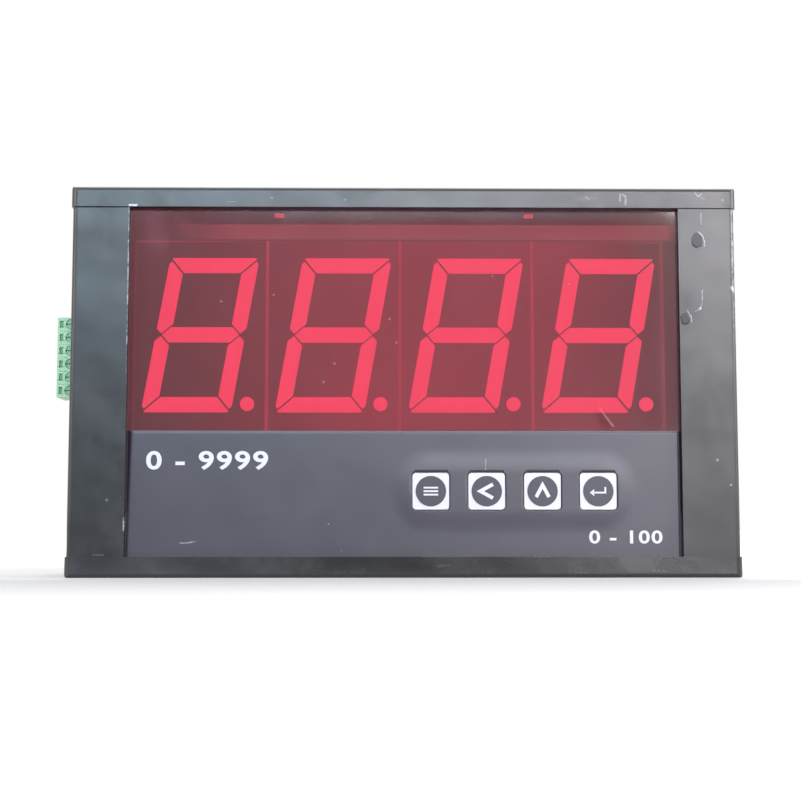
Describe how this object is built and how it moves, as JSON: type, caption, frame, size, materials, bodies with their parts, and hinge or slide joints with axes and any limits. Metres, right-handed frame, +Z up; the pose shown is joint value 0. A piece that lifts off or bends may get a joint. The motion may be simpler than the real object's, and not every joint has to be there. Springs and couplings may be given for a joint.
{
  "type": "digital panel meter",
  "caption": "Black cased digital meter with large red figures behind a red window, a grey keypad strip with square keys and a green pull-off terminal plug at one side.",
  "frame": {"origin": "middle of the underside of the bottom end cap", "axes": "+Z up, the display faces -Y, +X is to the right seen from the front"},
  "size_m": [0.2522, 0.055, 0.1407],
  "materials": {
    "cap_black": "satin black paint",
    "side_black": "satin black anodised",
    "panel_black": "satin black paint",
    "window_red": "clear red acrylic",
    "film_grey": "satin printed polyester film",
    "key_white": "smooth white",
    "key_dark": "satin dark grey print",
    "black_plastic": "matt moulded",
    "digit_housing": "matt dark grey moulded",
    "segment_red": "lit red diffuser",
    "board_display": "coated glass fibre board",
    "board_green": "coated glass fibre board",
    "steel": "zinc plated",
    "tinned": "tinned",
    "brass": "turned brass",
    "core": "laminated iron core",
    "relay_blue": "smooth blue moulded",
    "can": "sleeved aluminium can",
    "ribbon_grey": "flexible grey insulation",
    "terminal_green": "smooth light green moulded"
  },
  "bodies": {
    "case": {"top_cap": "cap_black", "bottom_cap": "cap_black", "left_side": "side_black", "right_side": "side_black", "rear_panel": "panel_black", "window": "window_red", "keypad_film": "film_grey", "top_screws": "steel", "bottom_screws": "steel", "rear_nuts": "steel", "key_switches": "black_plastic", "display_board": "board_display", "digit_1": "digit_housing", "digit_2": "digit_housing", "digit_3": "digit_housing", "digit_4": "digit_housing", "segments_1": "segment_red", "segments_2": "segment_red", "segments_3": "segment_red", "segments_4": "segment_red", "digit_pins": "tinned", "alarm_lights": "segment_red", "driver_chips": "black_plastic", "control_board": "board_green", "spacers": "brass", "board_screws": "steel", "transformer": "core", "relay": "relay_blue", "capacitors": "can", "controller_chip": "black_plastic", "ribbon_sockets": "black_plastic", "ribbon_cable": "ribbon_grey", "terminal_header": "terminal_green", "header_pins": "tinned"},
    "key_1": {"key_cap_1": "key_white", "key_disc_1": "key_dark", "plunger_1": "black_plastic"},
    "key_2": {"key_cap_2": "key_white", "key_disc_2": "key_dark", "plunger_2": "black_plastic"},
    "key_3": {"key_cap_3": "key_white", "key_disc_3": "key_dark", "plunger_3": "black_plastic"},
    "key_4": {"key_cap_4": "key_white", "key_disc_4": "key_dark", "plunger_4": "black_plastic"},
    "plug": {"plug_body": "terminal_green", "plug_contacts": "brass"},
    "screw_1": {"terminal_screw_1": "steel"},
    "screw_2": {"terminal_screw_2": "steel"},
    "screw_3": {"terminal_screw_3": "steel"},
    "screw_4": {"terminal_screw_4": "steel"},
    "screw_5": {"terminal_screw_5": "steel"},
    "screw_6": {"terminal_screw_6": "steel"},
    "clamp_1": {"wire_clamp_1": "tinned"},
    "clamp_2": {"wire_clamp_2": "tinned"},
    "clamp_3": {"wire_clamp_3": "tinned"},
    "clamp_4": {"wire_clamp_4": "tinned"},
    "clamp_5": {"wire_clamp_5": "tinned"},
    "clamp_6": {"wire_clamp_6": "tinned"}
  },
  "joints": [
    {"name": "key_1_press", "type": "slide", "parent": "case", "child": "key_1", "axis": [0, 1, 0], "range_m": [0, 0.0004], "stiffness_N_per_m": 400, "springref_m": -0.0008},
    {"name": "key_2_press", "type": "slide", "parent": "case", "child": "key_2", "axis": [0, 1, 0], "range_m": [0, 0.0004], "stiffness_N_per_m": 400, "springref_m": -0.0008},
    {"name": "key_3_press", "type": "slide", "parent": "case", "child": "key_3", "axis": [0, 1, 0], "range_m": [0, 0.0004], "stiffness_N_per_m": 400, "springref_m": -0.0008},
    {"name": "key_4_press", "type": "slide", "parent": "case", "child": "key_4", "axis": [0, 1, 0], "range_m": [0, 0.0004], "stiffness_N_per_m": 400, "springref_m": -0.0008},
    {"name": "plug_pull", "type": "slide", "parent": "case", "child": "plug", "axis": [-1, 0, 0], "range_m": [0, 0.014]},
    {"name": "screw_1_turn", "type": "hinge", "parent": "plug", "child": "screw_1", "pos_m": [-0.12665, 0.0052, 0.0696], "axis": [0, 1, 0], "range_deg": [0, 1440.1]},
    {"name": "screw_2_turn", "type": "hinge", "parent": "plug", "child": "screw_2", "pos_m": [-0.12665, 0.0052, 0.07468], "axis": [0, 1, 0], "range_deg": [0, 1440.1]},
    {"name": "screw_3_turn", "type": "hinge", "parent": "plug", "child": "screw_3", "pos_m": [-0.12665, 0.0052, 0.07976], "axis": [0, 1, 0], "range_deg": [0, 1440.1]},
    {"name": "screw_4_turn", "type": "hinge", "parent": "plug", "child": "screw_4", "pos_m": [-0.12665, 0.0052, 0.08484], "axis": [0, 1, 0], "range_deg": [0, 1440.1]},
    {"name": "screw_5_turn", "type": "hinge", "parent": "plug", "child": "screw_5", "pos_m": [-0.12665, 0.0052, 0.08992], "axis": [0, 1, 0], "range_deg": [0, 1440.1]},
    {"name": "screw_6_turn", "type": "hinge", "parent": "plug", "child": "screw_6", "pos_m": [-0.12665, 0.0052, 0.095], "axis": [0, 1, 0], "range_deg": [0, 1440.1]},
    {"name": "clamp_1_rise", "type": "slide", "parent": "plug", "child": "clamp_1", "axis": [0, -1, 0], "range_m": [0, 0.002]},
    {"name": "clamp_2_rise", "type": "slide", "parent": "plug", "child": "clamp_2", "axis": [0, -1, 0], "range_m": [0, 0.002]},
    {"name": "clamp_3_rise", "type": "slide", "parent": "plug", "child": "clamp_3", "axis": [0, -1, 0], "range_m": [0, 0.002]},
    {"name": "clamp_4_rise", "type": "slide", "parent": "plug", "child": "clamp_4", "axis": [0, -1, 0], "range_m": [0, 0.002]},
    {"name": "clamp_5_rise", "type": "slide", "parent": "plug", "child": "clamp_5", "axis": [0, -1, 0], "range_m": [0, 0.002]},
    {"name": "clamp_6_rise", "type": "slide", "parent": "plug", "child": "clamp_6", "axis": [0, -1, 0], "range_m": [0, 0.002]}
  ],
  "couplings": [
    {"joint": "screw_1_turn", "follows": "clamp_1_rise", "rad_per_m": 12566},
    {"joint": "screw_2_turn", "follows": "clamp_2_rise", "rad_per_m": 12566},
    {"joint": "screw_3_turn", "follows": "clamp_3_rise", "rad_per_m": 12566},
    {"joint": "screw_4_turn", "follows": "clamp_4_rise", "rad_per_m": 12566},
    {"joint": "screw_5_turn", "follows": "clamp_5_rise", "rad_per_m": 12566},
    {"joint": "screw_6_turn", "follows": "clamp_6_rise", "rad_per_m": 12566}
  ]
}
